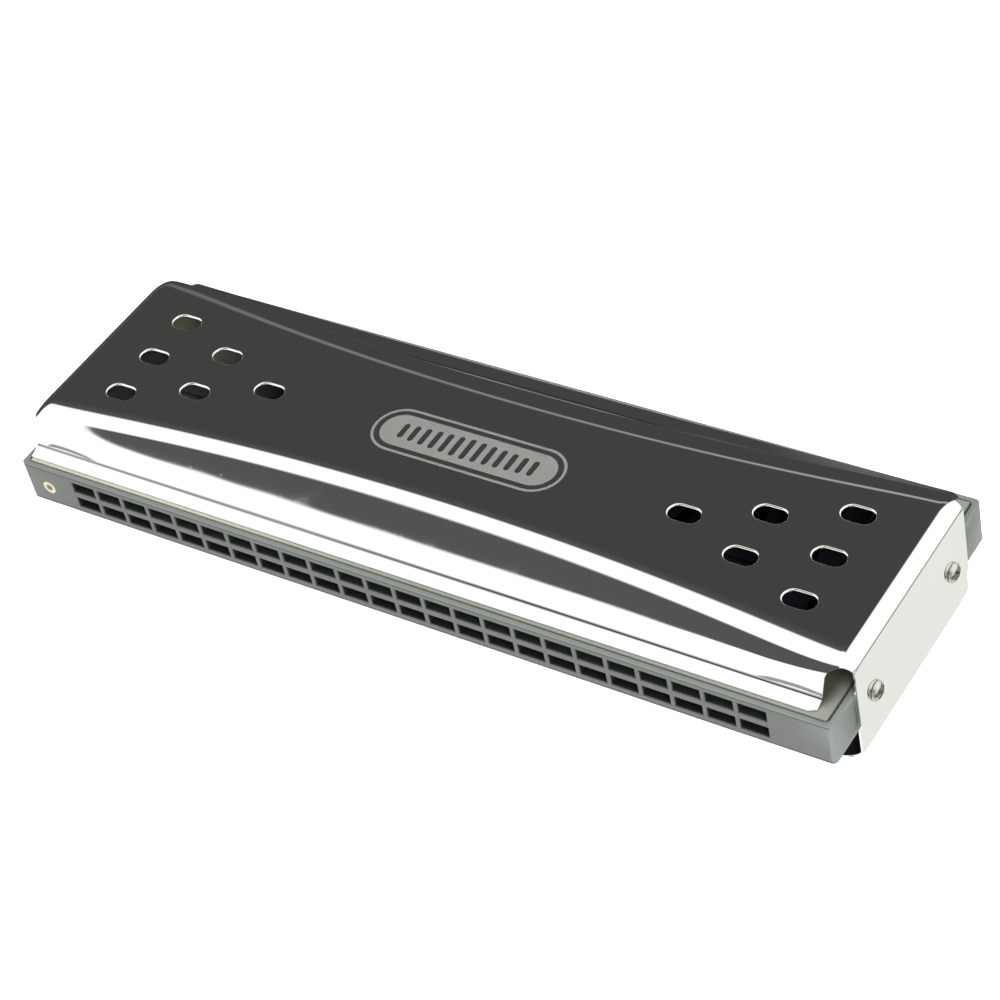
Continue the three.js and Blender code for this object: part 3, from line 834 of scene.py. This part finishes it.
def screw_mesh(name, radius, height, shank, length, recess_half, recess_width, recess_depth):
    """A pan-head screw with a tapered cross recess, its head's underside at z = 0."""
    bm = bmesh.new()
    profile = [(0, height)]
    for i in range(1, 13):
        angle = math.pi / 2 * i / 12
        profile.append((radius * math.sin(angle), height * (0.14 + 0.86 * math.cos(angle))))
    profile += [(radius * 0.98, 0.04), (radius * 0.94, 0), (shank, 0)]
    pitch = shank * 0.55
    turns = int((length - 1.0) / pitch)
    for i in range(turns):
        z = -0.3 - i * pitch
        profile += [(shank * 0.82, z), (shank, z - pitch * 0.5)]
    profile += [(shank * 0.8, -length + 0.5), (0, -length)]
    lathe(bm, profile, 40)
    for vert in bm.verts:
        vert.co *= MM
    bmesh.ops.recalc_face_normals(bm, faces=bm.faces)
    piece = object_from(name, bm, [STEEL, RECESS])
    cutter_mesh = bmesh.new()
    for turn in (0, math.pi / 2):
        top_z, low_z = height + 0.2, height - recess_depth
        corners = []
        for z, grow in ((low_z, 0.55), (top_z, 1.1)):
            half, wide = recess_half * grow, recess_width * (0.8 if grow < 1 else 1.15)
            corners.append([(-half, -wide, z), (half, -wide, z), (half, wide, z), (-half, wide, z)])
        spin = Matrix.Rotation(turn, 3, "Z")
        made = [[cutter_mesh.verts.new(spin @ Vector(c) * MM) for c in ring] for ring in corners]
        cutter_mesh.faces.new(list(reversed(made[0])))
        cutter_mesh.faces.new(made[1])
        for i in range(4):
            cutter_mesh.faces.new([made[0][i - 1], made[0][i], made[1][i], made[1][i - 1]])
    for face in cutter_mesh.faces:
        face.material_index = 1
    cutter = object_from(name + "_recess", cutter_mesh, [STEEL, RECESS])
    cut = piece.modifiers.new("recess", "BOOLEAN")
    cut.operation = "DIFFERENCE"
    cut.solver = "EXACT"
    cut.use_self = True
    cut.object = cutter
    bake(piece)
    bpy.data.objects.remove(cutter)
    piece.data.shade_smooth()
    piece.data.set_sharp_from_angle(angle=math.radians(32))
    mesh = piece.data
    bpy.data.objects.remove(piece)
    return mesh


def place_screw(name, mesh, origin, toward, spin, node):
    piece = bpy.data.objects.new(name, mesh)
    bpy.context.scene.collection.objects.link(piece)
    turn = Vector(toward).to_track_quat("Z", "Y") @ Quaternion((0, 0, 1), spin)
    piece.matrix_world = Matrix.Translation(Vector(origin) * MM) @ turn.to_matrix().to_4x4()
    return finish_piece(piece, BODY, [node])


cover_screw_mesh = screw_mesh(
    "cover_screw", radius=2.0, height=1.25, shank=0.85, length=5.8,
    recess_half=1.5, recess_width=0.30, recess_depth=1.0,
)
plate_screw_mesh = screw_mesh(
    "plate_screw", radius=1.3, height=0.58, shank=0.55, length=3.5,
    recess_half=0.75, recess_width=0.15, recess_depth=0.4,
)
COVER_HEAD_SINK = 1.3
PLATE_HEAD_SINK = 0.6
SCREW_SPIN = math.radians(40)
for node_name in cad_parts:
    low, high = cad_box_mm(node_name)
    middle = (low + high) / 2
    spin = SCREW_SPIN + random.uniform(-0.2, 0.2)
    if node_name.startswith("cover_screw"):
        end = 1 if middle.x > 0 else -1
        head = high.x if end > 0 else low.x
        origin = (head - end * COVER_HEAD_SINK, middle.y, middle.z)
        place_screw(node_name + "_pan_head", cover_screw_mesh, origin, (end, 0, 0), spin, node_name)
    if node_name.startswith("plate_screw"):
        level = 1 if middle.z > MID_Z else -1
        head = high.z if level > 0 else low.z
        origin = (middle.x, middle.y, head - level * PLATE_HEAD_SINK)
        place_screw(node_name + "_pan_head", plate_screw_mesh, origin, (0, 0, level), spin, node_name)


# Floor, light and camera

def floor_material():
    material, nodes, shader, place = new_material("floor_white")
    cloud = nodes.noise(place, 3, 3)
    nodes.link(nodes.mix(cloud, (0.93, 0.93, 0.93, 1), (0.95, 0.95, 0.95, 1)), shader.inputs["Base Color"])
    shader.inputs["Roughness"].default_value = 0.9
    shader.inputs["Specular IOR Level"].default_value = 0.0
    shader.inputs["Emission Color"].default_value = (1, 1, 1, 1)
    shader.inputs["Emission Strength"].default_value = 0.55
    return material


floor_mesh = bmesh.new()
bmesh.ops.create_grid(floor_mesh, x_segments=2, y_segments=2, size=6)
floor = object_from("floor", floor_mesh, [floor_material()])
floor.location.z = -0.02 * MM
floor.visible_glossy = False


def studio():
    """A white studio. Glossy rays alone see a cloth, a strip light, a wall, a far end and a curtain.

    The cloth, the strip light and the wall run parallel to X, so each is a band of the angle about X. The
    far end and what lies below it are bands of the angle about Y. The curtain hangs towards +X and -Y.
    """
    world = bpy.data.worlds.new("studio")
    bpy.context.scene.world = world
    world.use_nodes = True
    nodes = Nodes(world.node_tree)
    direction = nodes.add("ShaderNodeTexCoord").outputs["Generated"]
    x, y, z = nodes.split(direction)
    degrees = 180 / math.pi
    about_x = nodes.math("MULTIPLY", nodes.math("ARCTAN2", z, y), degrees)
    about_y = nodes.math("MULTIPLY", nodes.math("ARCTAN2", z, x), degrees)
    leftward = nodes.ramp(x, -0.07, 0.03, 1.0, 0.0)
    rightward = nodes.ramp(x, -0.07, 0.03)
    cloth = nodes.math("MULTIPLY", leftward, nodes.band(about_x, -95, 72, 2))
    along_lamp = nodes.math("MULTIPLY_ADD", nodes.ramp(x, -0.52, -0.36), -10.0, about_x)
    taper = nodes.ramp(x, -0.62, -0.36, 0.5, 1.25)
    along_lamp = nodes.math("MULTIPLY", nodes.math("SUBTRACT", along_lamp, 16), taper)
    strip = nodes.math("MULTIPLY", leftward, nodes.band(along_lamp, -3, 3, 2.5))
    # The wall's top edge slants down to a point at its left end, and rises a little at the right.
    slant = nodes.ramp(x, -0.550, -0.514, 24, 0, smooth=False)
    slant = nodes.math("ADD", slant, nodes.ramp(x, -0.507, -0.480, 0, -18, smooth=False))
    wall = nodes.math("MULTIPLY", leftward, nodes.ramp(about_x, 98, 101))
    wall = nodes.math("MULTIPLY", wall, nodes.ramp(nodes.math("ADD", about_x, slant), 121.5, 124, 1.0, 0.0))
    far_end = nodes.math("MULTIPLY", rightward, nodes.band(about_y, -50, -10, 3))
    below = nodes.math("MULTIPLY", rightward, nodes.ramp(about_y, -60, -50, 1.0, 0.0))
    curtain = nodes.math("MULTIPLY", rightward, nodes.ramp(y, -0.55, -0.20, 1.0, 0.0))
    curtain = nodes.math("MULTIPLY", curtain, nodes.band(z, 0.10, 0.70, 0.12))
    felt = nodes.mix(nodes.ramp(about_x, 54, 74), (0.055, 0.057, 0.053, 1), (0.090, 0.092, 0.086, 1))
    lamp = nodes.mix(nodes.ramp(x, -0.64, -0.30), (0.115, 0.117, 0.125, 1), (0.46, 0.47, 0.50, 1))
    colour = nodes.mix(cloth, (1.12, 1.12, 1.12, 1), felt)
    colour = nodes.mix(strip, colour, lamp)
    colour = nodes.mix(wall, colour, (0.088, 0.093, 0.088, 1))
    colour = nodes.mix(far_end, colour, (0.12, 0.12, 0.11, 1))
    colour = nodes.mix(below, colour, (0.86, 0.86, 0.82, 1))
    colour = nodes.mix(curtain, colour, (0.20, 0.205, 0.20, 1))
    reflected = nodes.add("ShaderNodeBackground")
    nodes.link(colour, reflected.inputs["Color"])
    plain = nodes.add("ShaderNodeBackground")
    plain.inputs["Color"].default_value = (1, 1, 1, 1)
    plain.inputs["Strength"].default_value = 0.62
    seen = nodes.add("ShaderNodeBackground")
    seen.inputs["Color"].default_value = (1, 1, 1, 1)
    seen.inputs["Strength"].default_value = 1.05
    path = nodes.add("ShaderNodeLightPath")
    mix_gloss = nodes.add("ShaderNodeMixShader")
    nodes.link(path.outputs["Is Glossy Ray"], mix_gloss.inputs[0])
    nodes.link(plain.outputs[0], mix_gloss.inputs[1])
    nodes.link(reflected.outputs[0], mix_gloss.inputs[2])
    mix_camera = nodes.add("ShaderNodeMixShader")
    nodes.link(path.outputs["Is Camera Ray"], mix_camera.inputs[0])
    nodes.link(mix_gloss.outputs[0], mix_camera.inputs[1])
    nodes.link(seen.outputs[0], mix_camera.inputs[2])
    output = nodes.add("ShaderNodeOutputWorld")
    nodes.link(mix_camera.outputs[0], output.inputs["Surface"])


studio()


def softbox(name, place, target, size, power):
    light = bpy.data.lights.new(name, "AREA")
    light.shape = "RECTANGLE"
    light.size, light.size_y = size
    light.energy = power
    lamp = bpy.data.objects.new(name, light)
    lamp.location = place
    lamp.rotation_euler = (Vector(target) - Vector(place)).to_track_quat("-Z", "Y").to_euler()
    lamp.visible_glossy = False
    lamp.visible_camera = False
    bpy.context.scene.collection.objects.link(lamp)


softbox("key_right", (0.75, -0.55, 0.65), (0, 0, 0.01), (0.6, 0.5), 9)
softbox("fill_top", (0.0, -0.1, 1.1), (0, 0, 0.01), (0.9, 0.9), 8)

# Fitted to the photograph: azimuth, elevation and roll in degrees, and the place in metres
CAMERA_LENS = 98.597
CAMERA_ANGLES = (41.536, 42.383, -13.92)
CAMERA_PLACE = (0.2658, -0.2944, 0.37292)

camera_data = bpy.data.cameras.new("camera")
camera_data.sensor_width = 36
camera_data.lens = CAMERA_LENS
camera_data.clip_start = 0.01
camera = bpy.data.objects.new("camera", camera_data)
bpy.context.scene.collection.objects.link(camera)
azimuth, elevation, roll = (math.radians(a) for a in CAMERA_ANGLES)
looking = Vector((
    -math.sin(azimuth) * math.cos(elevation),
    math.cos(azimuth) * math.cos(elevation),
    -math.sin(elevation),
))
camera.location = CAMERA_PLACE
camera.rotation_mode = "QUATERNION"
camera.rotation_quaternion = looking.to_track_quat("-Z", "Y") @ Quaternion((0, 0, 1), roll)
bpy.context.scene.camera = camera
bpy.context.scene.view_settings.view_transform = "Standard"
